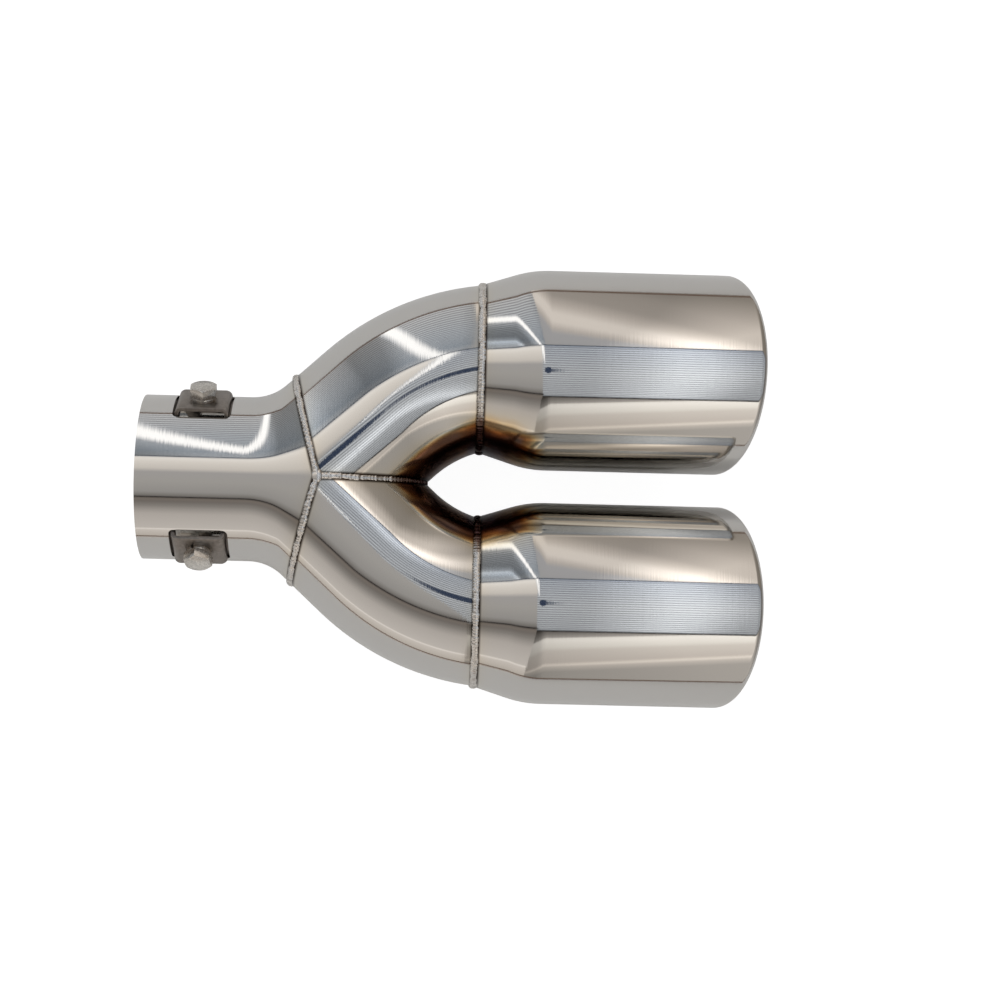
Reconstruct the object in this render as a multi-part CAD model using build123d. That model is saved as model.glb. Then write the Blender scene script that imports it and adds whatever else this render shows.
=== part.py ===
"""Dual exhaust tip: a clamp-on collar, two bent legs in a Y and two rolled-edge outlets.

Millimetres. X runs along the inlet axis towards the outlets, Y is to the left and Z is up.
The origin is the clamp centre: the point on the inlet axis where the axes of the three clamp bolts meet.
"""

import os
from math import asin, cos, radians, sin, sqrt, tan

from build123d import *

# Inlet collar: a straight tube with an oval flare at its inner end
inlet_radius = 31.5
collar_wall = 1.2
mouth_to_clamp = 24.1
flare_bend_radius = 20.0
flare_crown = 0.6

# Legs: straight from the branch point on the inlet axis, then bent back towards it. A step in radius at each
# weld keeps the parts of a joint together when the inlet's size changes
leg_step = 0.3
leg_wall = 1.2
branch_x = 38.6
branch_angle = 42.5
branch_run = 41.3
bend_radius = 75.3
bend_turn = 33.7
bend_overrun = 8.0
mitre_x = 45.9
mitre_angle = 14.9

# Tips: a cone, a cylinder and a slanted mouth whose edge is rolled inwards; the roll is nearly a half round
tip_start_step = 0.8
tip_radius = 40.0
tip_wall = 1.2
tip_length = 98.6
cone_angle = 17.5
cone_blend_radius = 45.0
mouth_slant = 17.4
roll_radius = 3.5
roll_share = 0.93
lip_length = 6.0

# Weld beads: round sections sunk into the seam, so that only a low cap stands out. Each reach is in degrees
# round the seam's ellipse, to past the place where the bead is cut off
bead_radius = 1.9
bead_height = 0.7
mitre_bead_reach = 112.0
crotch_bead_radius = 2.2
crotch_bead_height = 0.7
crotch_bead_fill = 0.2
crotch_bead_reach = 80.0

# Clamp brackets: a folded hat section in a window of the collar, with its feet inside
bracket_angles = {"left": 60.0, "right": -60.0, "bottom": 180.0}
bracket_sheet = 1.5
bracket_rise = 1.8
bracket_length = 20.8
bracket_width = 18.0
bracket_bend_radius = 2.6
foot_length = 4.5
foot_width = 24.0
window_end_gap = 0.9
window_side_gap = 1.0
window_corner_radius = 2.0
neck_radius = 4.3
neck_drop = 1.4

# M6 hex bolts and their split spring washers
bolt_radius = 3.0
bolt_length = 6.0
bolt_end_chamfer = 0.6
head_across_flats = 10.0
head_height = 4.0
head_chamfer_drop = 0.45
head_turns = {"left": 3.0, "right": 10.0, "bottom": 0.0}
washer_clearance = 0.1
washer_outer_radius = 4.95
washer_height = 1.6
washer_split = 0.9
washer_split_slant = 20.0
washer_split_turn = 115.0

# Worked out from the sizes above
collar_radius = inlet_radius + collar_wall
clamped_radius = inlet_radius - bracket_sheet
bracket_height = collar_radius + bracket_rise
leg_radius = collar_radius + leg_step
tip_start_radius = leg_radius + tip_start_step
branch_cos = cos(radians(branch_angle))
branch_sin = sin(radians(branch_angle))
leg_end_angle = radians(branch_angle - bend_turn)
bend_start = Vector(branch_x + branch_run * branch_cos, branch_run * branch_sin)
bend_centre = bend_start + Vector(branch_sin, -branch_cos) * bend_radius
leg_end = bend_centre + Vector(-sin(leg_end_angle), cos(leg_end_angle)) * bend_radius
leg_end_near = bend_centre.Y + sqrt((bend_radius - leg_radius) ** 2 - (leg_end.X - bend_centre.X) ** 2)
leg_end_far = bend_centre.Y + sqrt((bend_radius + leg_radius) ** 2 - (leg_end.X - bend_centre.X) ** 2)
tip_centre = Vector(leg_end.X, (leg_end_near + leg_end_far) / 2)
flare_corner_x = branch_x + (collar_radius * branch_cos - leg_radius) / branch_sin
flare_x = flare_corner_x - flare_bend_radius * tan(radians(branch_angle) / 2)
flare_bend_end_x = flare_x + flare_bend_radius * branch_sin
flare_end_x = mitre_x + 2 * collar_wall
long_enough = 2 * tip_length
touching = 1e-4

mitre_normal = (cos(radians(mitre_angle)), sin(radians(mitre_angle)), 0)
mitre_across = (-sin(radians(mitre_angle)), cos(radians(mitre_angle)), 0)
left_mitre = Plane(origin=(mitre_x, 0, 0), x_dir=mitre_across, z_dir=mitre_normal)
right_mitre = Plane(origin=(mitre_x, 0, 0), z_dir=(mitre_normal[0], -mitre_normal[1], 0))
middle = Plane(origin=(0, 0, 0), z_dir=(0, 1, 0))


def flare_half_width(x):
    """Half the collar's outer width at x: its side follows an arc, then the slope of the leg's side."""
    if x >= flare_bend_end_x:
        bend_rise = flare_bend_radius * (1 - branch_cos)
        return collar_radius + bend_rise + (x - flare_bend_end_x) * tan(radians(branch_angle))
    slope = asin((x - flare_x) / flare_bend_radius)
    return collar_radius + flare_bend_radius * (1 - cos(slope))


def flare_section(x):
    """The oval section of the flare at x."""
    half_width = flare_half_width(x)
    spread = (half_width - collar_radius) / (flare_half_width(mitre_x) - collar_radius)
    half_height = collar_radius + flare_crown * spread
    across = Plane(origin=(x, 0, 0), x_dir=(0, 1, 0), z_dir=(1, 0, 0))
    return across * Ellipse(half_width, half_height)


def collar_form():
    """The collar as a full body, its tube and its oval flare cut to the V joint."""
    tube = Cylinder(collar_radius, mouth_to_clamp + flare_x, align=(Align.CENTER, Align.CENTER, Align.MIN))
    tube = Pos(-mouth_to_clamp) * Rot(0, 90, 0) * tube
    shares = (0, 0.25, 0.5, 0.75, 1)
    flare = loft([flare_section(flare_x + (flare_end_x - flare_x) * share) for share in shares])
    body = split(tube + flare, left_mitre, keep=Keep.BOTTOM)
    return split(body, right_mitre, keep=Keep.BOTTOM)


def left_leg_form(inset):
    """The left leg as a full body, this far inside its outer face, cut to its neighbours."""
    radius = leg_radius - inset
    along = Vector(branch_cos, branch_sin)
    back = leg_radius
    run = Plane(origin=Vector(branch_x, 0) - along * back, z_dir=along)
    straight = extrude(run * Circle(radius), back + branch_run)
    bend = revolve(
        Plane(origin=bend_start, z_dir=along) * Circle(radius),
        Axis(bend_centre, (0, 0, -1)),
        revolution_arc=bend_turn + bend_overrun,
    )
    body = split(straight + bend, left_mitre, keep=Keep.TOP)
    body = split(body, middle, keep=Keep.TOP)
    return split(body, Plane(origin=leg_end, z_dir=(1, 0, 0)), keep=Keep.BOTTOM)


def tip_outline(inset):
    """The tip's side, drawn from the leg's end along X, as a face to turn about the X axis."""
    slope = radians(cone_angle)
    cone_top = tip_radius - cone_blend_radius * (1 - cos(slope))
    blend_end_x = (cone_top - tip_start_radius) / tan(slope) + cone_blend_radius * sin(slope)
    blend = cone_blend_radius - inset
    blend_centre = Vector(blend_end_x, tip_radius - cone_blend_radius)
    start = Vector(0, tip_start_radius - inset / cos(slope))
    cone_end = blend_centre + Vector(-sin(slope), cos(slope)) * blend
    blend_middle = blend_centre + Vector(-sin(slope / 2), cos(slope / 2)) * blend
    blend_end = blend_centre + Vector(0, blend)
    side = [
        Line((0, 0), start),
        Line(start, cone_end),
        ThreePointArc(cone_end, blend_middle, blend_end),
        Line(blend_end, (long_enough, blend_end.Y)),
        Line((long_enough, blend_end.Y), (long_enough, 0)),
        Line((long_enough, 0), (0, 0)),
    ]
    return make_face(side)


def mouth_plane(setback):
    """The slanted plane of the tip's mouth, this far back inside it."""
    slant = radians(mouth_slant)
    normal = Vector(cos(slant), 0, -sin(slant))
    return Plane(origin=Vector(tip_length, 0, 0) - normal * setback, z_dir=normal)


def tip_form(inset, setback):
    """The tip as a full body, this far inside its outer face, ending this far behind its mouth."""
    return split(revolve(tip_outline(inset), Axis.X), mouth_plane(setback), keep=Keep.BOTTOM)


def mouth_core(radius, front_setback, back_setback):
    """A round plug in the mouth, between two planes parallel to it."""
    plug = Rot(0, 90, 0) * Cylinder(radius, 2 * long_enough)
    plug = split(plug, mouth_plane(front_setback), keep=Keep.BOTTOM)
    return split(plug, mouth_plane(back_setback), keep=Keep.TOP)


def rim_edges(body, setback):
    """The edges of a body that lie in the plane this far behind the mouth."""
    plane = mouth_plane(setback)
    spots = (0, 0.3, 0.6)
    return [
        edge
        for edge in body.edges()
        if all(abs(plane.to_local_coords(edge @ spot).Z) < touching for spot in spots)
    ]


def make_tip():
    """One outlet: cone, cylinder and slanted mouth, its edge rolled inwards to a short lip."""
    lip_radius = tip_radius - 2 * roll_radius
    lip_end = roll_radius + lip_length
    body = tip_form(0, 0) - mouth_core(lip_radius, -roll_radius, lip_end)
    body = fillet(rim_edges(body, 0), roll_share * roll_radius)
    hollow = tip_form(tip_wall, tip_wall) - mouth_core(lip_radius + tip_wall, -roll_radius, lip_end)
    hollow = fillet(rim_edges(hollow, tip_wall), roll_share * (roll_radius - tip_wall))
    return Pos(tip_centre) * (body - hollow)


def make_window():
    """The opening in the collar's wall for one bracket, cut along +Z."""
    length = bracket_length + 2 * window_end_gap
    width = bracket_width + 2 * window_side_gap
    return extrude(RectangleRounded(length, width, window_corner_radius), 2 * collar_radius)


def make_bracket():
    """A hat section: plate outside, two legs through the window, two feet along the collar's inner wall."""
    reach = bracket_height - clamped_radius / 2
    outside = Pos(0, 0, bracket_height) * Box(
        bracket_length, bracket_width, reach, align=(Align.CENTER, Align.CENTER, Align.MAX)
    )
    outside = fillet(outside.edges().filter_by(Axis.Y).group_by(Axis.Z)[-1], bracket_bend_radius)
    inside = Pos(0, 0, bracket_height - bracket_sheet) * Box(
        bracket_length - 2 * bracket_sheet, bracket_width, reach, align=(Align.CENTER, Align.CENTER, Align.MAX)
    )
    inside = fillet(inside.edges().filter_by(Axis.Y).group_by(Axis.Z)[-1], bracket_bend_radius - bracket_sheet)
    pipe = Rot(0, 90, 0) * Cylinder(clamped_radius, long_enough)
    wall = Rot(0, 90, 0) * Cylinder(inlet_radius, long_enough)
    folded = outside - inside - pipe
    foot_reach = bracket_length + 2 * foot_length
    feet = Box(foot_reach, foot_width, collar_radius, align=(Align.CENTER, Align.CENTER, Align.MIN))
    feet = feet - Box(bracket_length - 2 * bracket_sheet, foot_width, long_enough)
    feet = (feet & wall) - pipe
    neck = Pos(0, 0, bracket_height - bracket_sheet) * Cylinder(
        neck_radius, neck_drop, align=(Align.CENTER, Align.CENTER, Align.MAX)
    )
    return folded + feet + neck - Cylinder(bolt_radius, long_enough)


def make_washer():
    """A split spring washer, pressed flat on the bracket's plate."""
    ring = Cylinder(washer_outer_radius, washer_height) - Cylinder(bolt_radius + washer_clearance, washer_height)
    gap = Pos(washer_outer_radius, 0, 0) * Rot(washer_split_slant, 0, 0) * Box(
        2 * (washer_outer_radius - bolt_radius) + washer_clearance, washer_split, 3 * washer_height
    )
    return Pos(0, 0, bracket_height + washer_height / 2) * Rot(0, 0, washer_split_turn) * (ring - gap)


def make_bolt(turn):
    """An M6 hex bolt with its head on the spring washer, turned this far about its own axis."""
    seat = bracket_height + washer_height
    corner_radius = head_across_flats / 2 / cos(radians(30))
    head = extrude(RegularPolygon(head_across_flats / 2, 6, major_radius=False), head_height)
    dome = Cylinder(corner_radius, head_height, align=(Align.CENTER, Align.CENTER, Align.MIN))
    top_edge = dome.edges().filter_by(GeomType.CIRCLE).sort_by(Axis.Z)[-1]
    head = head & chamfer(top_edge, head_chamfer_drop, head_chamfer_drop / tan(radians(30)))
    shank = Cylinder(bolt_radius, bolt_length, align=(Align.CENTER, Align.CENTER, Align.MAX))
    shank = chamfer(shank.edges().filter_by(GeomType.CIRCLE).sort_by(Axis.Z)[0], bolt_end_chamfer)
    return Pos(0, 0, seat) * Rot(0, 0, 30 + turn) * (head + shank)


def at_clamp(side, piece):
    """A fastener piece drawn along +Z, turned round the inlet axis to its own window."""
    return Rot(-bracket_angles[side], 0, 0) * piece


def other_side(piece):
    """The same piece on the right of the object."""
    return mirror(piece, about=Plane.XZ)


collar_outside = collar_form()
left_leg_outside = left_leg_form(0)
right_leg_outside = other_side(left_leg_outside)
left_tip_outside = Pos(tip_centre) * tip_form(0, 0)


def make_collar():
    """The inlet collar with its three windows."""
    ends = collar_outside.faces().filter_by(GeomType.PLANE)
    collar = offset(collar_outside, amount=-collar_wall, openings=ends)
    for side in bracket_angles:
        collar = collar - at_clamp(side, make_window())
    return collar


def make_mitre_bead():
    """The left run of the weld between collar and leg, along the leg's section in the V joint."""
    to_centre = (mitre_x - branch_x) * mitre_normal[0] / cos(radians(branch_angle - mitre_angle))
    centre = Vector(branch_x + to_centre * branch_cos, to_centre * branch_sin)
    sunk = bead_radius - bead_height
    seam = Plane(origin=centre, x_dir=mitre_across, z_dir=mitre_normal)
    half_width = leg_radius / cos(radians(branch_angle - mitre_angle)) - sunk
    half_height = leg_radius - sunk
    reach = mitre_bead_reach
    path = seam * EllipticalCenterArc((0, 0), half_width, half_height, start_angle=-reach, arc_size=2 * reach)
    bead = sweep(Plane(origin=path @ 0, z_dir=path % 0) * Circle(bead_radius), path=path)
    bead = split(bead, middle, keep=Keep.TOP)
    return bead - left_leg_outside - collar_outside


def make_crotch_bead(mitre_beads):
    """The weld down the seam where the legs meet, an ellipse in the middle plane."""
    seam = Plane(origin=(branch_x, 0, 0), x_dir=(1, 0, 0), z_dir=(0, -1, 0))
    half_length = leg_radius / branch_sin + crotch_bead_fill
    half_height = leg_radius - crotch_bead_radius + crotch_bead_height
    reach = crotch_bead_reach
    path = seam * EllipticalCenterArc((0, 0), half_length, half_height, start_angle=-reach, arc_size=2 * reach)
    bead = sweep(Plane(origin=path @ 0, z_dir=path % 0) * Circle(crotch_bead_radius), path=path)
    bead = bead - left_leg_outside - right_leg_outside - collar_outside
    for mitre_bead in mitre_beads:
        bead = bead - mitre_bead
    return bead


def make_tip_bead():
    """The ring weld between leg and tip."""
    section = Pos(0, tip_start_radius + bead_height - bead_radius) * Circle(bead_radius)
    ring = Pos(tip_centre) * revolve(section, Axis.X)
    return ring - left_leg_outside - left_tip_outside


left_leg = left_leg_outside - left_leg_form(leg_wall)
left_tip = make_tip()
left_mitre_bead = make_mitre_bead()
left_tip_bead = make_tip_bead()
mitre_beads = [left_mitre_bead, other_side(left_mitre_bead)]

pieces = {
    "inlet_collar": make_collar(),
    "leg_left": left_leg,
    "leg_right": other_side(left_leg),
    "tip_left": left_tip,
    "tip_right": other_side(left_tip),
    "weld_mitre_left": mitre_beads[0],
    "weld_mitre_right": mitre_beads[1],
    "weld_crotch": make_crotch_bead(mitre_beads),
    "weld_tip_left": left_tip_bead,
    "weld_tip_right": other_side(left_tip_bead),
}
for side in bracket_angles:
    pieces[f"bracket_{side}"] = at_clamp(side, make_bracket())
    pieces[f"spring_washer_{side}"] = at_clamp(side, make_washer())
    pieces[f"clamp_bolt_{side}"] = at_clamp(side, make_bolt(head_turns[side]))

os.makedirs("parts", exist_ok=True)
for name, piece in pieces.items():
    export_step(piece, f"parts/{name}.step")
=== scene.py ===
from math import asin, cos, exp, pi, radians, sin, sqrt, tan

import bmesh
import bpy
from mathutils import Matrix, Vector, noise


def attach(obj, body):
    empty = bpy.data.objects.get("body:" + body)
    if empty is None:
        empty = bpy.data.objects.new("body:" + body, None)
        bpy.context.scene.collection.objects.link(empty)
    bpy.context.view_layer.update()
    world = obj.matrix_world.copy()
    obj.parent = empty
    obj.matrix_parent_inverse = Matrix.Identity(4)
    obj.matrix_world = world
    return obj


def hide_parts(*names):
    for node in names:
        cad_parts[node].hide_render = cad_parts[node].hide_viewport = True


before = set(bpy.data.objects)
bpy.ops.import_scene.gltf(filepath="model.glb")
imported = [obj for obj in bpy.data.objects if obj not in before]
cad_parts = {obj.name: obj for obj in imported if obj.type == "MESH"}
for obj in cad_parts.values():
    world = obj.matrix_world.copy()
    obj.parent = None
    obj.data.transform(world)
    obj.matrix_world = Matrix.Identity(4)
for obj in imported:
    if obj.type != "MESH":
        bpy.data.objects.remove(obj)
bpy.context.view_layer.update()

# Legs: two tubes of 66 mm, 1.2 mm thick, in 304 stainless steel. Each is mandrel bent towards the other,
# cut to a V against the collar and to the middle plane against its twin, then TIG welded and mirror polished.
leg_radius = 33.0
sheet = 1.2
branch_x = 38.6
branch_angle = radians(42.5)
branch_run = 41.3
bend_radius = 75.3
bend_turn = radians(33.7)
bend_overrun = radians(8)
mitre_x = 45.9
mitre_angle = radians(14.9)
round_steps = 192
straight_steps = 36
bend_steps = 60
leg_along = Vector((cos(branch_angle), sin(branch_angle), 0))
leg_across = Vector((sin(branch_angle), -cos(branch_angle), 0))
bend_start = Vector((branch_x, 0, 0)) + leg_along * branch_run
bend_centre = bend_start + leg_across * bend_radius
end_angle = branch_angle - bend_turn
leg_end = bend_centre + Vector((-sin(end_angle), cos(end_angle), 0)) * bend_radius
mitre_normal = Vector((cos(mitre_angle), sin(mitre_angle), 0))
# The torch's tint: how strong it is at the outlet's weld and in the crotch, and how far it reaches. In the
# crotch it is also painted shade, darkening the inner sides where the legs face each other
tip_tint = 0.95
tint_past_tip = 17.0
tint_before_tip = 10.0
crotch_tint_and_shade = 0.72
crotch_tint_and_shade_rise = (66.0, 92.0)
crotch_tint_and_shade_fall = (136.0, 104.0)
seam_tint = 0.2
seam_tint_reach = 2.2


def linear(colour):
    """A hex colour as linear red, green, blue and alpha."""
    parts = [int(colour[place : place + 2], 16) / 255 for place in (1, 3, 5)]
    return [part / 12.92 if part <= 0.04045 else ((part + 0.055) / 1.055) ** 2.4 for part in parts] + [1.0]


def add_node(material, kind, inputs=None, stops=None, **settings):
    """Adds a node. Each input is a value or another node's output, and stops fill a colour ramp."""
    node = material.node_tree.nodes.new(kind)
    for name, value in settings.items():
        setattr(node, name, value)
    for name, value in (inputs or {}).items():
        if isinstance(value, bpy.types.NodeSocket):
            material.node_tree.links.new(value, node.inputs[name])
        else:
            node.inputs[name].default_value = value
    for count, (place, colour) in enumerate(stops or []):
        if count > 1:
            node.color_ramp.elements.new(place)
        node.color_ramp.elements[count].position = place
        node.color_ramp.elements[count].color = colour
    return node


def new_material(name):
    """An empty material with an output node."""
    material = bpy.data.materials.new(name)
    material.use_nodes = True
    material.node_tree.nodes.clear()
    return material


def finish_material(material, shader):
    """Sends a shader to the material's surface."""
    output = add_node(material, "ShaderNodeOutputMaterial")
    material.node_tree.links.new(shader.outputs[0], output.inputs["Surface"])
    return material


def soft_step(low, high, value):
    """0 below low, 1 above high and a smooth rise between."""
    share = min(max((value - low) / (high - low), 0), 1)
    return share * share * (3 - 2 * share)


def seam_distance(point):
    """How far a point on the tubes is from the nearest weld, in millimetres."""
    side = abs(point.y)
    to_tip = abs(point.x - leg_end.x)
    to_mitre = abs((point.x - mitre_x) * mitre_normal.x + side * mitre_normal.y)
    to_crotch = side if point.x > mitre_x else leg_radius
    return min(to_tip, to_mitre, to_crotch)


def tint_and_gap_shade_at(point):
    """How strongly a point on the tubes is tinted, from 0 to 1: the torch's tint, and in the crotch also
    painted shade of the gap between the legs.
    """
    to_tip = point.x - leg_end.x
    reach = tint_past_tip if to_tip > 0 else tint_before_tip
    axis_x = min(max(point.x, mitre_x), leg_end.x)
    axis_y = bend_centre.y + sqrt(bend_radius**2 - (axis_x - bend_centre.x) ** 2)
    inner = (axis_y - abs(point.y)) / leg_radius
    at_tip = tip_tint * soft_step(0.5, 1.0, inner) * exp(-((to_tip / reach) ** 2))
    # Painted shade as well as torch tint: the inner sides darken where the legs face each other, from the
    # crotch past the outlets' welds
    tint_and_shade_in_crotch = crotch_tint_and_shade * soft_step(0.62, 1.08, inner)
    tint_and_shade_in_crotch *= soft_step(*crotch_tint_and_shade_rise, point.x) * soft_step(*crotch_tint_and_shade_fall, point.x)
    near_seam = seam_tint * exp(-seam_distance(point) / seam_tint_reach)
    return min(1, max(at_tip, tint_and_shade_in_crotch) + near_seam)


def add_tint_and_shade(shape):
    """Stores the tint, with its painted shade in the crotch, and the distance to the welds on the points of a
    tube, for its material.
    """
    tint_and_shade = shape.verts.layers.float.new("tint_and_gap_shade")
    seam = shape.verts.layers.float.new("seam_mm")
    for vert in shape.verts:
        vert[tint_and_shade] = tint_and_gap_shade_at(vert.co)
        vert[seam] = seam_distance(vert.co)


def place_piece(name, shape, material, slot, *nodes, crease=35):
    """Turns a shape in millimetres into a piece and hides these nodes."""
    bmesh.ops.scale(shape, vec=(0.001, 0.001, 0.001), verts=shape.verts)
    for face in shape.faces:
        face.smooth = True
    for edge in shape.edges:
        edge.smooth = edge.calc_face_angle(0) < radians(crease)
    mesh = bpy.data.meshes.new(name)
    shape.to_mesh(mesh)
    shape.free()
    mesh.materials.append(material)
    piece = bpy.data.objects.new(name, mesh)
    bpy.context.scene.collection.objects.link(piece)
    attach(piece, "root")
    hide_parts(*nodes)
    return piece


def cut(shape, point, normal):
    """Cuts off what lies on the normal's side of a plane."""
    everything = shape.verts[:] + shape.edges[:] + shape.faces[:]
    bmesh.ops.bisect_plane(
        shape, geom=everything, dist=1e-5, plane_co=point, plane_no=normal, clear_outer=True
    )


def thicken(shape):
    """Gives a thin shell the sheet's thickness, inwards."""
    bmesh.ops.recalc_face_normals(shape, faces=shape.faces)
    bmesh.ops.solidify(shape, geom=shape.faces[:], thickness=sheet)


def mirror_side(shape):
    """Mirrors a shape across the middle plane."""
    bmesh.ops.scale(shape, vec=(1, -1, 1), verts=shape.verts)
    bmesh.ops.reverse_faces(shape, faces=shape.faces)


def ring_of(edges):
    """The points of a set of edges."""
    return list({vert for edge in edges for vert in edge.verts})


# Mirror polished 304: bright warm grey with faint polishing marks round the tube, and a straw, bronze and
# purple oxide tint where the welds were hot. Past the crotch weld the same tint also darkens the inner sides
# of the legs and outlets as painted shade of the gap between them. The mop's marks are drawn 0.7 mm wide
# because the real ones are too fine to show.
blotch_width = 4.545
mark_width = 0.714
mark_length = 33.3


def polished_304(name):
    """The polished steel, with its weld tint and the painted shade between the legs read from a point
    attribute of the piece.
    """
    steel = new_material(name)
    place = add_node(steel, "ShaderNodeTexCoord").outputs["Object"]
    blotches = add_node(
        steel, "ShaderNodeTexNoise", {"Vector": place, "Scale": 1000 / blotch_width, "Detail": 3.0}
    )
    tint_and_shade = add_node(steel, "ShaderNodeAttribute", attribute_name="tint_and_gap_shade").outputs["Fac"]
    seam = add_node(steel, "ShaderNodeAttribute", attribute_name="seam_mm").outputs["Fac"]
    spread = add_node(
        steel, "ShaderNodeMath", {0: blotches.outputs["Fac"], 1: 0.5, 2: -0.25}, operation="MULTIPLY_ADD"
    )
    strength = add_node(
        steel, "ShaderNodeMath", {0: spread.outputs[0], 1: tint_and_shade, 2: tint_and_shade}, operation="MULTIPLY_ADD"
    )
    tint = add_node(
        steel,
        "ShaderNodeValToRGB",
        {"Fac": strength.outputs[0]},
        stops=[
            (0.0, linear("#CFCDCA")),
            (0.16, linear("#CEC8BC")),
            (0.34, linear("#CBB592")),
            (0.5, linear("#B18D66")),
            (0.66, linear("#8C6A52")),
            (0.84, linear("#786468")),
            (1.0, linear("#6E6468")),
        ],
    )
    # The wall is drawn darker up to 1.3 mm from a seam and is back to its own colour at 2.15 mm
    from_seam = add_node(steel, "ShaderNodeMath", {0: seam, 1: 0.1}, operation="MULTIPLY")
    edge = add_node(
        steel,
        "ShaderNodeValToRGB",
        {"Fac": from_seam.outputs[0]},
        stops=[(0.13, linear("#4A403A")), (0.215, linear("#FFFFFF"))],
    )
    colour = add_node(
        steel,
        "ShaderNodeMix",
        {"Factor": 1.0, "A": tint.outputs["Color"], "B": edge.outputs["Color"]},
        data_type="RGBA",
        blend_type="MULTIPLY",
    )
    stretch = (1000 / mark_width, 1000 / mark_length, 1000 / mark_length)
    along = add_node(steel, "ShaderNodeMapping", {"Vector": place, "Scale": stretch})
    marks = add_node(steel, "ShaderNodeTexNoise", {"Vector": along.outputs[0], "Scale": 1.0, "Detail": 2.0})
    bump = add_node(
        steel, "ShaderNodeBump", {"Height": marks.outputs["Fac"], "Strength": 0.012, "Distance": 0.0005}
    )
    gloss = add_node(
        steel,
        "ShaderNodeMapRange",
        {
            "Value": blotches.outputs["Fac"],
            "From Min": 0.3,
            "From Max": 0.7,
            "To Min": 0.045,
            "To Max": 0.075,
        },
    )
    rough = add_node(
        steel,
        "ShaderNodeMath",
        {0: strength.outputs[0], 1: 0.12, 2: gloss.outputs[0]},
        operation="MULTIPLY_ADD",
    )
    return finish_material(
        steel,
        add_node(
            steel,
            "ShaderNodeBsdfPrincipled",
            {
                "Base Color": colour.outputs[2],
                "Metallic": 1.0,
                "Roughness": rough.outputs[0],
                "Normal": bump.outputs[0],
            },
        ),
    )


polished_steel = polished_304("mirror polished 304 stainless")


def leg_shape():
    """The left leg as a shell: a straight run, then a bend, cut to its neighbours."""
    shape = bmesh.new()
    bmesh.ops.create_circle(shape, segments=round_steps, radius=leg_radius)
    turn = Matrix.Rotation(branch_angle, 4, "Z") @ Matrix.Rotation(pi / 2, 4, "Y")
    bmesh.ops.transform(shape, matrix=turn, verts=shape.verts)
    bmesh.ops.translate(shape, vec=Vector((branch_x, 0, 0)) - leg_along * leg_radius, verts=shape.verts)
    ring = shape.edges[:]
    step = leg_along * (leg_radius + branch_run) / straight_steps
    for _ in range(straight_steps):
        made = bmesh.ops.extrude_edge_only(shape, edges=ring)["geom"]
        ring = [item for item in made if isinstance(item, bmesh.types.BMEdge)]
        ring = [edge for edge in ring if all(len(vert.link_faces) < 3 for vert in edge.verts)]
        bmesh.ops.translate(shape, vec=step, verts=ring_of(ring))
    bmesh.ops.spin(
        shape,
        geom=ring,
        cent=bend_centre,
        axis=(0, 0, 1),
        angle=-(bend_turn + bend_overrun),
        steps=bend_steps,
    )
    cut(shape, (mitre_x, 0, 0), -mitre_normal)
    cut(shape, (0, 0, 0), (0, -1, 0))
    cut(shape, leg_end, (1, 0, 0))
    add_tint_and_shade(shape)
    thicken(shape)
    return shape


left_leg = leg_shape()
right_leg = left_leg.copy()
mirror_side(right_leg)
place_piece("leg_tube_left", left_leg, polished_steel, "polished_stainless", "leg_left")
place_piece("leg_tube_right", right_leg, polished_steel, "polished_stainless", "leg_right")

# Inlet collar: a 65.4 mm tube of the same sheet that is flared to an oval to take both legs. Three windows
# are punched through it for the clamp brackets.
collar_radius = 32.7
mouth_x = -24.1
flare_bend_radius = 20.0
flare_crown = 0.6
flare_corner_x = branch_x + (collar_radius * cos(branch_angle) - leg_radius) / sin(branch_angle)
flare_x = flare_corner_x - flare_bend_radius * tan(branch_angle / 2)
flare_bend_end_x = flare_x + flare_bend_radius * sin(branch_angle)
bracket_angles = {"left": radians(60), "right": radians(-60), "bottom": radians(180)}
window_length = 22.6
window_width = 20.0
window_corner_radius = 2.0
inlet_steps = 8
flare_steps = 44
past_mitre = 2.0


def flare_half_width(x):
    """Half the collar's width at x: an arc, then the slope of the leg's side."""
    if x <= flare_x:
        return collar_radius
    if x >= flare_bend_end_x:
        rise = flare_bend_radius * (1 - cos(branch_angle))
        return collar_radius + rise + (x - flare_bend_end_x) * tan(branch_angle)
    return collar_radius + flare_bend_radius * (1 - cos(asin((x - flare_x) / flare_bend_radius)))


def flare_half_height(x):
    """Half the collar's height at x."""
    spread = (flare_half_width(x) - collar_radius) / (flare_half_width(mitre_x) - collar_radius)
    return collar_radius + flare_crown * spread


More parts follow.
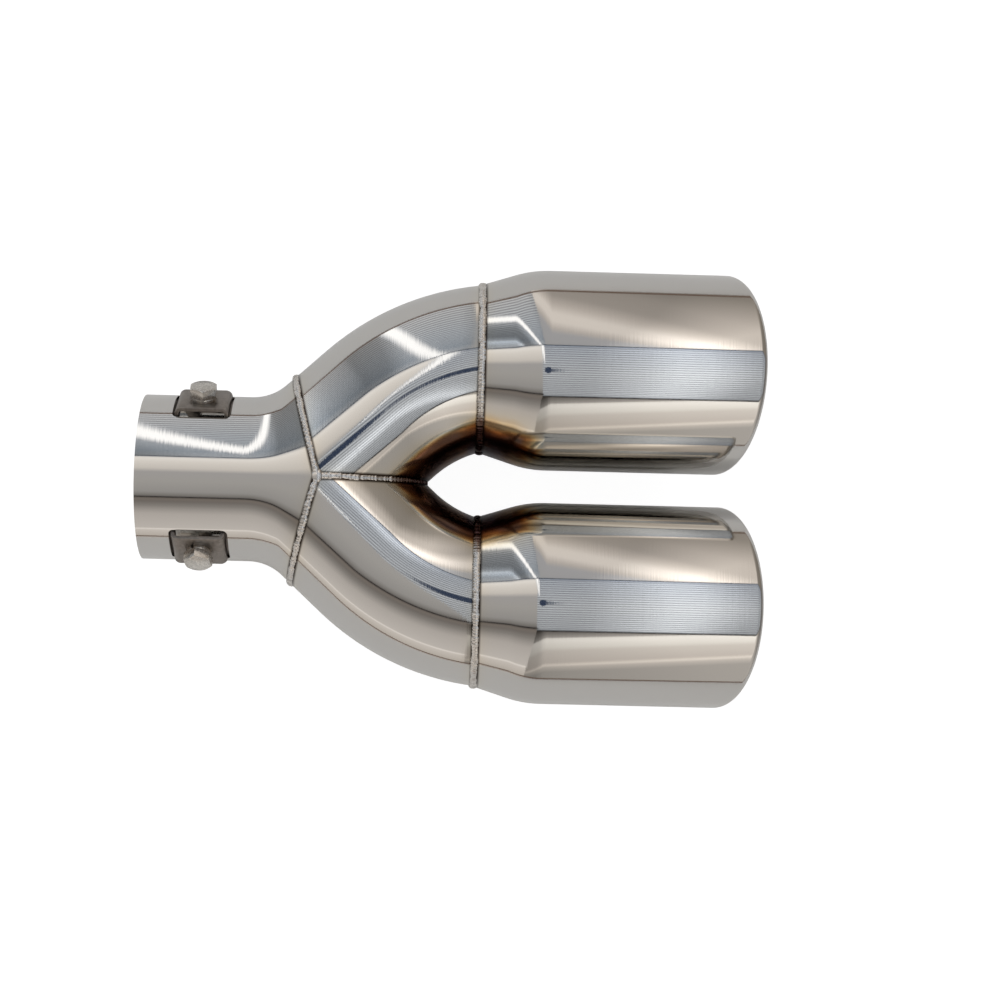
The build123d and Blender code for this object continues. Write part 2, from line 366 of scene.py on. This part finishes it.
def collar_shape():
    """The collar as a shell, its far end cut to the V joint."""
    shape = bmesh.new()
    bmesh.ops.create_circle(shape, segments=2 * round_steps, radius=collar_radius)
    bmesh.ops.rotate(shape, cent=(0, 0, 0), matrix=Matrix.Rotation(pi / 2, 3, "Y"), verts=shape.verts)
    bmesh.ops.translate(shape, vec=(mouth_x, 0, 0), verts=shape.verts)
    ring = shape.edges[:]
    x = mouth_x
    inlet_run = flare_x - mouth_x
    flare_run = mitre_x + past_mitre - flare_x
    stops = [mouth_x + inlet_run * count / inlet_steps for count in range(1, inlet_steps + 1)]
    stops += [flare_x + flare_run * count / flare_steps for count in range(1, flare_steps + 1)]
    for stop in stops:
        made = bmesh.ops.extrude_edge_only(shape, edges=ring)["geom"]
        ring = [item for item in made if isinstance(item, bmesh.types.BMEdge)]
        ring = [edge for edge in ring if all(len(vert.link_faces) < 3 for vert in edge.verts)]
        wider = flare_half_width(stop) / flare_half_width(x)
        taller = flare_half_height(stop) / flare_half_height(x)
        bmesh.ops.translate(shape, vec=(stop - x, 0, 0), verts=ring_of(ring))
        bmesh.ops.scale(shape, vec=(1, wider, taller), verts=ring_of(ring))
        x = stop
    for side in (1, -1):
        cut(shape, (mitre_x, 0, 0), (mitre_normal.x, side * mitre_normal.y, 0))
    add_tint_and_shade(shape)
    thicken(shape)
    return shape


def window_cutter(angle):
    """A rounded block that cuts one window, standing out through the collar's wall."""
    shape = bmesh.new()
    bmesh.ops.create_cube(shape, size=1)
    bmesh.ops.scale(shape, vec=(window_length, window_width, 2 * leg_radius), verts=shape.verts)
    upright = [edge for edge in shape.edges if abs(edge.verts[0].co.z - edge.verts[1].co.z) > 1]
    bmesh.ops.bevel(
        shape,
        geom=upright,
        offset=window_corner_radius,
        segments=6,
        profile=0.5,
        affect="EDGES",
        material=-1,
    )
    bmesh.ops.translate(shape, vec=(0, 0, leg_radius), verts=shape.verts)
    bmesh.ops.rotate(shape, cent=(0, 0, 0), matrix=Matrix.Rotation(-angle, 3, "X"), verts=shape.verts)
    bmesh.ops.scale(shape, vec=(0.001, 0.001, 0.001), verts=shape.verts)
    mesh = bpy.data.meshes.new("window cutter")
    shape.to_mesh(mesh)
    shape.free()
    return bpy.data.objects.new("window cutter", mesh)


collar = place_piece("collar_tube", collar_shape(), polished_steel, "polished_stainless", "inlet_collar")
for angle in bracket_angles.values():
    cutter = window_cutter(angle)
    bpy.context.scene.collection.objects.link(cutter)
    punch = collar.modifiers.new("window", "BOOLEAN")
    punch.object = cutter
    punch.operation = "DIFFERENCE"
    punch.solver = "EXACT"
    with bpy.context.temp_override(object=collar, active_object=collar, selected_objects=[collar]):
        bpy.ops.object.modifier_apply(modifier=punch.name)
    bpy.data.objects.remove(cutter)

# Outlets: each is one spun tube of 80 mm with a coned start that is welded to its leg. Its mouth is cut at a
# slant and the edge is rolled inwards to a smooth lip.
tip_start_radius = 33.8
tip_radius = 40.0
cone_angle = radians(17.5)
cone_blend_radius = 45.0
mouth_slant = radians(17.4)
roll_radius = 3.25
roll_start = 94.85
lip_length = 6.2
slant_start = 60.0
cone_steps = 14
blend_steps = 20
roll_steps = 20
near_side = bend_centre.y + sqrt((bend_radius - leg_radius) ** 2 - (leg_end.x - bend_centre.x) ** 2)
far_side = bend_centre.y + sqrt((bend_radius + leg_radius) ** 2 - (leg_end.x - bend_centre.x) ** 2)
tip_centre = Vector((leg_end.x, (near_side + far_side) / 2, 0))


def tip_profile():
    """The outlet's side from the leg to the lip's free edge, as points along the axis and away from it."""
    cone_top = tip_radius - cone_blend_radius * (1 - cos(cone_angle))
    cone_length = (cone_top - tip_start_radius) / tan(cone_angle)
    blend_end = cone_length + cone_blend_radius * sin(cone_angle)
    points = []
    for count in range(cone_steps):
        share = count / cone_steps
        points.append((cone_length * share, tip_start_radius + (cone_top - tip_start_radius) * share))
    for count in range(blend_steps + 1):
        slope = cone_angle * (1 - count / blend_steps)
        points.append(
            (blend_end - cone_blend_radius * sin(slope), tip_radius - cone_blend_radius * (1 - cos(slope)))
        )
    for count in range(roll_steps + 1):
        turn = pi * count / roll_steps
        points.append((roll_start + roll_radius * sin(turn), tip_radius - roll_radius * (1 - cos(turn))))
    points.append((roll_start - lip_length, tip_radius - 2 * roll_radius))
    return points


def tip_shape():
    """The left outlet as a shell, spun round its axis and slanted at the mouth."""
    shape = bmesh.new()
    points = [shape.verts.new((x, 0, radius)) for x, radius in tip_profile()]
    line = [shape.edges.new(pair) for pair in zip(points, points[1:])]
    bmesh.ops.spin(
        shape,
        geom=points + line,
        cent=(0, 0, 0),
        axis=(1, 0, 0),
        angle=2 * pi,
        steps=round_steps,
        use_merge=True,
    )
    bmesh.ops.remove_doubles(shape, verts=shape.verts, dist=1e-4)
    slant = Matrix.Identity(4)
    slant[0][2] = tan(mouth_slant)
    bmesh.ops.transform(
        shape, matrix=slant, verts=[vert for vert in shape.verts if vert.co.x > slant_start]
    )
    bmesh.ops.translate(shape, vec=tip_centre, verts=shape.verts)
    add_tint_and_shade(shape)
    thicken(shape)
    return shape


left_tip = tip_shape()
right_tip = left_tip.copy()
mirror_side(right_tip)
place_piece("outlet_left", left_tip, polished_steel, "polished_stainless", "tip_left")
place_piece("outlet_right", right_tip, polished_steel, "polished_stainless", "tip_right")

# Weld beads: TIG beads of stainless filler, left as welded. They are low ridges with fine, uneven ripples,
# silvery where the gas covered them and brown to purple on the inner sides.
bead_height = 0.62
bead_sunk = 0.3
outlet_bead_width = 3.1
collar_bead_width = 2.7
crotch_bead_width = 2.8
crotch_bead_start = 0.6
ripple_pitch = 1.3
ripple_height = 0.1
ripple_sweep = 0.35
wander = 0.28
lump_size = (2.3, 2.9, 1.1)
lump_sunk = 0.4
# As-welded filler: satin silver with a 1 mm grain, and 5.6 mm patches of brown oxide where it stayed hot
grain_width = 1.111
patch_width = 5.556


def weld_metal(name):
    """The welded metal, with its tint read from a point attribute of the piece, which in the crotch also
    holds painted shade.
    """
    weld = new_material(name)
    place = add_node(weld, "ShaderNodeTexCoord").outputs["Object"]
    tint_and_shade = add_node(weld, "ShaderNodeAttribute", attribute_name="tint_and_gap_shade").outputs["Fac"]
    grains = add_node(
        weld, "ShaderNodeTexNoise", {"Vector": place, "Scale": 1000 / grain_width, "Detail": 4.0}
    )
    patches = add_node(
        weld, "ShaderNodeTexNoise", {"Vector": place, "Scale": 1000 / patch_width, "Detail": 2.0}
    )
    strength = add_node(
        weld, "ShaderNodeMath", {0: patches.outputs["Fac"], 1: 0.5, 2: tint_and_shade}, operation="MULTIPLY_ADD"
    )
    colour = add_node(
        weld,
        "ShaderNodeValToRGB",
        {"Fac": strength.outputs[0]},
        stops=[
            (0.46, linear("#D6D2CD")),
            (0.6, linear("#B0A69E")),
            (0.78, linear("#705A50")),
            (1.0, linear("#4E3838")),
        ],
    )
    gloss = add_node(
        weld,
        "ShaderNodeMapRange",
        {"Value": grains.outputs["Fac"], "From Min": 0.3, "From Max": 0.7, "To Min": 0.14, "To Max": 0.32},
    )
    bump = add_node(
        weld, "ShaderNodeBump", {"Height": grains.outputs["Fac"], "Strength": 0.3, "Distance": 0.0002}
    )
    return finish_material(
        weld,
        add_node(
            weld,
            "ShaderNodeBsdfPrincipled",
            {
                "Base Color": colour.outputs["Color"],
                "Metallic": 1.0,
                "Roughness": gloss.outputs[0],
                "Normal": bump.outputs[0],
            },
        ),
    )


welded_steel = weld_metal("as-welded stainless filler")


def bead_shape(half_width, half_height, bead_width, seed, steps=720):
    """A rippled bead round an ellipse in the XY plane, its section half sunk in the wall."""
    shape = bmesh.new()
    bmesh.ops.create_circle(shape, segments=14, radius=1)
    bmesh.ops.rotate(shape, cent=(0, 0, 0), matrix=Matrix.Rotation(pi / 2, 3, "X"), verts=shape.verts)
    bmesh.ops.scale(shape, vec=(bead_height + bead_sunk, 1, bead_width / 2), verts=shape.verts)
    middle_radius = half_height - bead_sunk
    bmesh.ops.translate(shape, vec=(middle_radius, 0, 0), verts=shape.verts)
    section = shape.verts[:] + shape.edges[:]
    bmesh.ops.spin(shape, geom=section, cent=(0, 0, 0), axis=(0, 0, 1), angle=2 * pi, steps=steps)
    bmesh.ops.remove_doubles(shape, verts=shape.verts, dist=1e-4)
    for vert in shape.verts:
        out = Vector((vert.co.x, vert.co.y, 0)).normalized()
        core = out * middle_radius
        spoke = vert.co - core
        place = core + Vector((seed, 0, 0))
        uneven = 0.26 * noise.noise(place * 0.28) + 0.22 * noise.noise(place * 0.8)
        along = middle_radius * asin(max(-1, min(1, out.y)))
        turns = (along + ripple_sweep * abs(spoke.z)) / ripple_pitch
        ripple = ripple_height * sin(2 * pi * turns + 4 * noise.noise(place * 0.5))
        vert.co = core + spoke * (1 + uneven) + spoke.normalized() * ripple
        vert.co.z += wander * noise.noise(place * 0.2 + Vector((9, 4, 2)))
    bmesh.ops.scale(shape, vec=(half_width / half_height, 1, 1), verts=shape.verts)
    bmesh.ops.recalc_face_normals(shape, faces=shape.faces)
    return shape


def place_bead(name, shape, node):
    """Finishes a weld bead with its torch tint and, in the crotch, painted shade."""
    add_tint_and_shade(shape)
    place_piece(name, shape, welded_steel, "weld_metal", node, crease=80)


for side, sign in (("left", 1), ("right", -1)):
    ring = bead_shape(tip_start_radius, tip_start_radius, outlet_bead_width, seed=10 * sign)
    upright = Matrix.Translation(tip_centre) @ Matrix.Rotation(pi / 2, 4, "Y")
    bmesh.ops.transform(ring, matrix=upright, verts=ring.verts)
    if sign < 0:
        mirror_side(ring)
    place_bead(f"outlet_weld_{side}", ring, f"weld_tip_{side}")

    stretch = cos(branch_angle - mitre_angle)
    joint = bead_shape(leg_radius / stretch, leg_radius, collar_bead_width, seed=30 + 10 * sign)
    to_centre = (mitre_x - branch_x) * mitre_normal.x / stretch
    joint_centre = Vector((branch_x, 0, 0)) + leg_along * to_centre
    joint_axes = Matrix.Translation(joint_centre) @ Matrix.Rotation(mitre_angle, 4, "Z")
    joint_axes = joint_axes @ Matrix.Rotation(pi / 2, 4, "Y") @ Matrix.Rotation(pi / 2, 4, "Z")
    bmesh.ops.transform(joint, matrix=joint_axes, verts=joint.verts)
    cut(joint, (0, 0, 0), (0, -1, 0))
    if sign < 0:
        mirror_side(joint)
    place_bead(f"collar_weld_{side}", joint, f"weld_mitre_{side}")

crotch = bead_shape(leg_radius / sin(branch_angle), leg_radius, crotch_bead_width, seed=77, steps=900)
crotch_axes = Matrix.Translation((branch_x, 0, 0)) @ Matrix.Rotation(pi / 2, 4, "X")
bmesh.ops.transform(crotch, matrix=crotch_axes, verts=crotch.verts)
cut(crotch, (mitre_x + crotch_bead_start, 0, 0), (-1, 0, 0))
# The three beads meet in a small lump, above and below
for side in (1, -1):
    lump_place = Matrix.Translation((mitre_x, 0, side * (leg_radius - lump_sunk)))
    lump = lump_place @ Matrix.Diagonal((*lump_size, 1))
    bmesh.ops.create_icosphere(crotch, subdivisions=3, radius=1, matrix=lump)
place_bead("crotch_weld", crotch, "weld_crotch")

# Clamp brackets: folded hats of 1.5 mm steel strip, their feet inside the collar. They are dull grey-brown
# from the rolling mill, with paler rubbed bends.
bend_softening = 0.18


def copied_shape(node, softening):
    """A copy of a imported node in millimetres, merged and with its sharp edges softened."""
    shape = bmesh.new()
    shape.from_mesh(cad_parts[node].data)
    bmesh.ops.scale(shape, vec=(1000, 1000, 1000), verts=shape.verts)
    bmesh.ops.remove_doubles(shape, verts=shape.verts, dist=1e-3)
    bmesh.ops.dissolve_limit(
        shape, angle_limit=radians(1), use_dissolve_boundaries=False, verts=shape.verts, edges=shape.edges
    )
    sharp = [edge for edge in shape.edges if edge.calc_face_angle(0) > radians(30)]
    bmesh.ops.bevel(
        shape,
        geom=sharp,
        offset=softening,
        segments=2,
        profile=0.5,
        affect="EDGES",
        material=-1,
        clamp_overlap=True,
    )
    return shape


def worn_steel(name, base, rubbed, roughness, mottle_width):
    """Bare steel with a mottled surface that is paler where it is rubbed, at the corners."""
    steel = new_material(name)
    place = add_node(steel, "ShaderNodeTexCoord").outputs["Object"]
    mottle = add_node(
        steel,
        "ShaderNodeTexNoise",
        {"Vector": place, "Scale": 1000 / mottle_width, "Detail": 5.0, "Roughness": 0.6},
    )
    corners = add_node(steel, "ShaderNodeNewGeometry").outputs["Pointiness"]
    wear = add_node(
        steel,
        "ShaderNodeMapRange",
        {"Value": corners, "From Min": 0.5, "From Max": 0.58, "To Min": 0.0, "To Max": 1.0},
    )
    shade = add_node(
        steel,
        "ShaderNodeMapRange",
        {"Value": mottle.outputs["Fac"], "From Min": 0.3, "From Max": 0.7, "To Min": 0.75, "To Max": 1.15},
    )
    colour = add_node(
        steel,
        "ShaderNodeMix",
        {"Factor": wear.outputs[0], "A": linear(base), "B": linear(rubbed)},
        data_type="RGBA",
    )
    shaded = add_node(
        steel,
        "ShaderNodeMix",
        {"Factor": 1.0, "A": colour.outputs[2], "B": shade.outputs[0]},
        data_type="RGBA",
        blend_type="MULTIPLY",
    )
    gloss = add_node(
        steel,
        "ShaderNodeMapRange",
        {
            "Value": mottle.outputs["Fac"],
            "From Min": 0.3,
            "From Max": 0.7,
            "To Min": roughness - 0.06,
            "To Max": roughness + 0.08,
        },
    )
    bump = add_node(
        steel, "ShaderNodeBump", {"Height": mottle.outputs["Fac"], "Strength": 0.25, "Distance": 0.0001}
    )
    return finish_material(
        steel,
        add_node(
            steel,
            "ShaderNodeBsdfPrincipled",
            {
                "Base Color": shaded.outputs[2],
                "Metallic": 1.0,
                "Roughness": gloss.outputs[0],
                "Normal": bump.outputs[0],
            },
        ),
    )


# Rolled strip: a dull brown grey with a 1.4 mm mottle that breaks up its reflections
strip_steel = worn_steel("cold-formed steel strip", "#6B635D", "#A39C95", 0.36, 1.429)
for side in bracket_angles:
    place_piece(
        f"clamp_hat_{side}",
        copied_shape(f"bracket_{side}", bend_softening),
        strip_steel,
        "bracket_sheet",
        f"bracket_{side}",
    )

# Clamp bolts: M6 hex bolts in A2 stainless with split spring washers, cold headed and satin all over. Each is
# screwed through its bracket's plate and neck to press on the tail pipe.
fastener_softening = 0.14
# Cold-headed stainless: satin pale grey with a mottle of 0.9 mm
fastener_steel = worn_steel("satin stainless fastener", "#C4BFB8", "#DAD6D0", 0.24, 0.909)
for side in bracket_angles:
    place_piece(
        f"hex_bolt_{side}",
        copied_shape(f"clamp_bolt_{side}", fastener_softening),
        fastener_steel,
        "fastener_steel",
        f"clamp_bolt_{side}",
    )
    place_piece(
        f"split_washer_{side}",
        copied_shape(f"spring_washer_{side}", fastener_softening),
        fastener_steel,
        "fastener_steel",
        f"spring_washer_{side}",
    )

# Studio: the part lies on a pale table in a long tent: a ceiling near the camera's height and two side walls.
# Half of the ceiling and one wall carry rows of small lamps, whose lines show in the polished steel. Metres
# from here on.
table_z = -0.0402
ceiling_z = 0.95
left_wall_y = 0.44
right_wall_y = -0.57
outer_wall_y = -0.63
far_left_x = -1.5
far_right_x = 1.5
table_reach = 4.0
table_glow = 1.33
table_glow_share = 0.7
ceiling_join_x = 0.03
left_wall_join_x = 0.06
right_wall_join_x = 0.03
outer_wall_start_x = 0.0
lamp_gap = 0.002
panel_strength = 1.65


def stage_sheet(name, corners, material):
    """A flat sheet of the studio from its four corners."""
    shape = bmesh.new()
    points = [shape.verts.new(corner) for corner in corners]
    shape.faces.new(points)
    uv = shape.loops.layers.uv.new("sheet")
    for loop, place in zip(shape.faces[:][0].loops, ((0, 0), (1, 0), (1, 1), (0, 1))):
        loop[uv].uv = place
    mesh = bpy.data.meshes.new(name)
    shape.to_mesh(mesh)
    shape.free()
    mesh.materials.append(material)
    sheet_object = bpy.data.objects.new(name, mesh)
    bpy.context.scene.collection.objects.link(sheet_object)
    return sheet_object


def pale_table():
    """A matt white table, which the camera sees as plain white with a faint shadow."""
    table = new_material("matt white table")
    matt = add_node(table, "ShaderNodeBsdfDiffuse", {"Color": linear("#E6E6E5")})
    white = add_node(table, "ShaderNodeEmission", {"Color": linear("#FFFFFF"), "Strength": table_glow})
    path = add_node(table, "ShaderNodeLightPath")
    seen = add_node(
        table,
        "ShaderNodeMath",
        {0: path.outputs["Is Camera Ray"], 1: table_glow_share},
        operation="MULTIPLY",
    )
    mixed = add_node(
        table, "ShaderNodeMixShader", {0: seen.outputs[0], 1: matt.outputs[0], 2: white.outputs[0]}
    )
    return finish_material(table, mixed)


stage_sheet(
    "table",
    [(x * table_reach, y * table_reach, table_z) for x, y in ((-1, -1), (1, -1), (1, 1), (-1, 1))],
    pale_table(),
)


def tent_cloth(name, stops, direction=(0, 1, 0), shift=0.0, along=None, lamp_rows=0, lamp_depth=0.0):
    """Glowing cloth: colours along a direction on the sheet, a second ramp along X and rows of lamps."""
    cloth = new_material(name)
    place = add_node(cloth, "ShaderNodeUVMap", uv_map="sheet").outputs[0]
    across = add_node(cloth, "ShaderNodeVectorMath", {0: place, 1: direction}, operation="DOT_PRODUCT")
    moved = add_node(cloth, "ShaderNodeMath", {0: across.outputs["Value"], 1: shift}, operation="ADD")
    colour = add_node(cloth, "ShaderNodeValToRGB", {"Fac": moved.outputs[0]}, stops=stops).outputs["Color"]
    parts = add_node(cloth, "ShaderNodeSeparateXYZ", {0: place})
    factors = []
    if along:
        ramp = add_node(cloth, "ShaderNodeValToRGB", {"Fac": parts.outputs[0]}, stops=along)
        factors.append(ramp.outputs["Color"])
    if lamp_rows:
        wave = add_node(
            cloth, "ShaderNodeMath", {0: parts.outputs[1], 1: 2 * pi * lamp_rows}, operation="MULTIPLY"
        )
        level = add_node(cloth, "ShaderNodeMath", {0: wave.outputs[0]}, operation="SINE")
        rows = add_node(
            cloth, "ShaderNodeMath", {0: level.outputs[0], 1: lamp_depth, 2: 1.0}, operation="MULTIPLY_ADD"
        )
        factors.append(rows.outputs[0])
    for factor in factors:
        colour = add_node(
            cloth,
            "ShaderNodeMix",
            {"Factor": 1.0, "A": colour, "B": factor},
            data_type="RGBA",
            blend_type="MULTIPLY",
        ).outputs[2]
    glow = add_node(cloth, "ShaderNodeEmission", {"Color": colour, "Strength": panel_strength})
    return finish_material(cloth, glow)


def hang(name, corners, material):
    """Hangs a sheet of the tent, which the camera doesn't see."""
    panel = stage_sheet(name, corners, material)
    panel.visible_camera = False
    panel.visible_shadow = False


def grey(level):
    """A linear multiplier as a ramp colour."""
    return (level, level, level, 1.0)


def ceiling(name, x_from, x_to, right_y, material):
    """A part of the ceiling, from the right wall to the left one."""
    hang(
        name,
        [
            (x_from, right_y, ceiling_z),
            (x_to, right_y, ceiling_z),
            (x_to, left_wall_y, ceiling_z),
            (x_from, left_wall_y, ceiling_z),
        ],
        material,
    )


def wall(name, y, x_from, x_to, material):
    """A part of a side wall, from the table to the ceiling."""
    corners = [(x_from, y, table_z), (x_to, y, table_z), (x_to, y, ceiling_z), (x_from, y, ceiling_z)]
    hang(name, corners, material)


ceiling(
    "ceiling_over_collar",
    far_left_x,
    ceiling_join_x,
    right_wall_y,
    tent_cloth(
        "plain ceiling cloth",
        [
            (0.0, linear("#4E4B49")),
            (0.05, linear("#706D6A")),
            (0.16, linear("#8C8A88")),
            (0.42, linear("#979592")),
            (0.62, linear("#989695")),
            (0.7, linear("#BEB9B3")),
            (0.86, linear("#CEC9C3")),
            (0.95, linear("#DAD6D1")),
            (1.0, linear("#96979A")),
        ],
    ),
)
ceiling(
    "ceiling_over_outlets",
    ceiling_join_x,
    far_right_x,
    outer_wall_y,
    tent_cloth(
        "ceiling with rows of lamps",
        [
            (0.0, linear("#70747A")),
            (0.06, linear("#A0A4A9")),
            (0.5, linear("#ACB0B5")),
            (0.95, linear("#A0A6AF")),
            (1.0, linear("#687180")),
        ],
        along=[
            (0.0, grey(0.78)),
            (0.13, grey(0.82)),
            (0.17, grey(1.2)),
            (0.2, grey(1.6)),
            (0.225, grey(1.55)),
            (0.27, grey(0.85)),
            (0.4, grey(0.72)),
        ],
        lamp_rows=25,
        lamp_depth=0.5,
    ),
)
white_edge = linear("#A0A3A8")
white_middle = linear("#FFFFFF")
lamp_tube = tent_cloth(
    "long white lamp",
    [(0.0, white_edge), (0.3, white_middle), (0.7, white_middle), (1.0, white_edge)],
    direction=(1, 0, 0),
)
lamp_y = left_wall_y - lamp_gap
lamp_z = ceiling_z - lamp_gap
hang(
    "lamp_on_ceiling",
    [(0.052, 0.07, lamp_z), (0.067, 0.07, lamp_z), (0.038, lamp_y, lamp_z), (-0.022, lamp_y, lamp_z)],
    lamp_tube,
)
hang(
    "lamp_on_wall",
    [(-0.15, lamp_y, -0.02), (-0.1, lamp_y, -0.02), (0.008, lamp_y, lamp_z), (-0.046, lamp_y, lamp_z)],
    lamp_tube,
)
wall(
    "left_wall_by_collar",
    left_wall_y,
    far_left_x,
    left_wall_join_x,
    tent_cloth(
        "wall with rows of lamps",
        [
            (0.0, linear("#8A8886")),
            (0.04, linear("#ACADAF")),
            (0.35, linear("#A0A5AB")),
            (0.75, linear("#8E969F")),
            (0.95, linear("#A0A5AB")),
            (1.0, linear("#6A6F77")),
        ],
        along=[
            (0.682, grey(0.9)),
            (0.745, grey(1.6)),
            (0.765, grey(0.8)),
            (0.799, grey(0.42)),
            (0.857, grey(0.5)),
            (0.896, grey(0.9)),
            (0.98, grey(0.85)),
            (1.0, grey(0.7)),
        ],
        lamp_rows=33,
        lamp_depth=0.42,
    ),
)
wall(
    "left_wall_by_outlets",
    left_wall_y,
    left_wall_join_x,
    far_right_x,
    tent_cloth(
        "warm wall cloth",
        [
            (0.12, linear("#949495")),
            (0.215, linear("#969698")),
            (0.236, linear("#A9A39D")),
            (0.262, linear("#C8C1BA")),
            (0.285, linear("#C8C1BA")),
            (0.308, linear("#AAA39C")),
            (0.33, linear("#8F8983")),
            (0.365, linear("#89837D")),
            (0.42, linear("#65605A")),
            (0.5, linear("#5D5852")),
        ],
        direction=(0.973, -0.232, 0),
        shift=0.285,
        along=[(0.116, grey(1.0)), (0.149, grey(1.6)), (0.188, grey(2.2)), (0.3, grey(1.6))],
    ),
)
wall(
    "right_wall_by_collar",
    right_wall_y,
    far_left_x,
    right_wall_join_x,
    tent_cloth(
        "grey wall cloth",
        [
            (0.0, linear("#A8A199")),
            (0.14, linear("#BEB8B2")),
            (0.157, linear("#D8D2CC")),
            (0.175, linear("#B4AFAA")),
            (0.45, linear("#A6A19C")),
            (0.66, linear("#7D7975")),
            (0.8, linear("#6A6561")),
            (0.92, linear("#6E6761")),
            (1.0, linear("#46423F")),
        ],
    ),
)
wall(
    "right_wall_by_outlets",
    outer_wall_y,
    outer_wall_start_x,
    far_right_x,
    tent_cloth(
        "white wall cloth",
        [
            (0.05, linear("#96928D")),
            (0.12, linear("#B0AAA3")),
            (0.15, linear("#D0C8BF")),
            (0.19, linear("#B2ABA4")),
            (0.38, linear("#BCB6AF")),
            (0.45, linear("#CDC9C2")),
            (0.6, linear("#DAD6D0")),
            (0.66, linear("#D8D4CE")),
            (0.69, linear("#96928D")),
            (0.8, linear("#787470")),
            (1.0, linear("#46423E")),
        ],
        direction=(-1.6, 1, 0),
        shift=0.1,
        along=[
            (0.0, grey(0.5)),
            (0.07, grey(0.6)),
            (0.12, grey(0.9)),
            (0.2, grey(1.15)),
            (0.3, grey(1.25)),
            (0.6, grey(0.7)),
        ],
    ),
)


def seam(name, y_1, z_1, y_2, z_2, colour, x_from=far_left_x, x_to=far_right_x):
    """A dark tape in a corner of the tent, from one edge's place across and up to the other's."""
    material = tent_cloth(name + " tape", [(0.0, linear(colour)), (1.0, linear(colour))])
    ends = [(x_from, y_1, z_1), (x_to, y_1, z_1), (x_to, y_2, z_2), (x_from, y_2, z_2)]
    hang(name, ends, material)


seam("left_upper_seam", 0.426, 0.946, 0.437, 0.936, "#39424F")
seam("right_upper_seam", -0.548, 0.946, -0.567, 0.926, "#2E2B2A", x_to=0.05)
seam("right_outer_seam", -0.608, 0.946, -0.627, 0.926, "#2E2B2A", x_from=0.03)
seam("left_lower_seam", 0.437, -0.012, 0.437, -0.03, "#5E5048")
seam("right_lower_seam", -0.567, -0.012, -0.567, -0.03, "#5E5048")

# The opening for the lens, whose dark spot shows in both outlets
lens_place = (0.12, -0.05, 0.944)
lens_radius = 0.058
lens_disc = bmesh.new()
bmesh.ops.create_circle(lens_disc, cap_ends=True, segments=48, radius=lens_radius)
bmesh.ops.translate(lens_disc, vec=lens_place, verts=lens_disc.verts)
lens_mesh = bpy.data.meshes.new("lens_in_ceiling")
lens_disc.to_mesh(lens_mesh)
lens_disc.free()
lens_glass = new_material("dark coated glass")
lens_glow = add_node(lens_glass, "ShaderNodeEmission", {"Color": linear("#3C4860"), "Strength": 1.0})
lens_mesh.materials.append(finish_material(lens_glass, lens_glow))
lens_object = bpy.data.objects.new("lens_in_ceiling", lens_mesh)
bpy.context.scene.collection.objects.link(lens_object)
lens_object.visible_camera = False
lens_object.visible_shadow = False


def studio_air():
    """The room round the tent: white to the camera, mid grey to the steel."""
    world = bpy.data.worlds.new("studio")
    world.use_nodes = True
    world.node_tree.nodes.clear()
    path = add_node(world, "ShaderNodeLightPath")
    white = add_node(world, "ShaderNodeBackground", {"Color": linear("#FFFFFF"), "Strength": 1.05})
    grey_air = add_node(world, "ShaderNodeBackground", {"Color": linear("#827F7C"), "Strength": 1.0})
    mixed = add_node(
        world,
        "ShaderNodeMixShader",
        {0: path.outputs["Is Camera Ray"], 1: grey_air.outputs[0], 2: white.outputs[0]},
    )
    output = add_node(world, "ShaderNodeOutputWorld")
    world.node_tree.links.new(mixed.outputs[0], output.inputs["Surface"])
    bpy.context.scene.world = world


studio_air()

# A soft lamp over the table, which the steel doesn't mirror
fill = bpy.data.lights.new("table_fill", "AREA")
fill.shape = "RECTANGLE"
fill.size = 1.4
fill.size_y = 0.9
fill.energy = 3.2
fill_lamp = bpy.data.objects.new("table_fill", fill)
fill_lamp.location = (0.1, -0.05, 0.93)
fill_lamp.visible_camera = False
fill_lamp.visible_glossy = False
bpy.context.scene.collection.objects.link(fill_lamp)

# Camera: almost straight above the part, as in the photograph, and turned by a degree or three about each
# axis, in radians.
camera_place = (0.097, -0.056, 0.856)
camera_lean = -0.0237
camera_tilt = 0.0586
camera_roll = 0.0240
lens = bpy.data.cameras.new("camera")
lens.sensor_width = 36.0
lens.lens = 77.23
lens.clip_end = 20.0
camera = bpy.data.objects.new("camera", lens)
bpy.context.scene.collection.objects.link(camera)
camera.matrix_world = (
    Matrix.Translation(camera_place)
    @ Matrix.Rotation(camera_lean, 4, "Y")
    @ Matrix.Rotation(camera_tilt, 4, "X")
    @ Matrix.Rotation(camera_roll, 4, "Z")
)
bpy.context.scene.camera = camera
bpy.context.scene.view_settings.view_transform = "Standard"
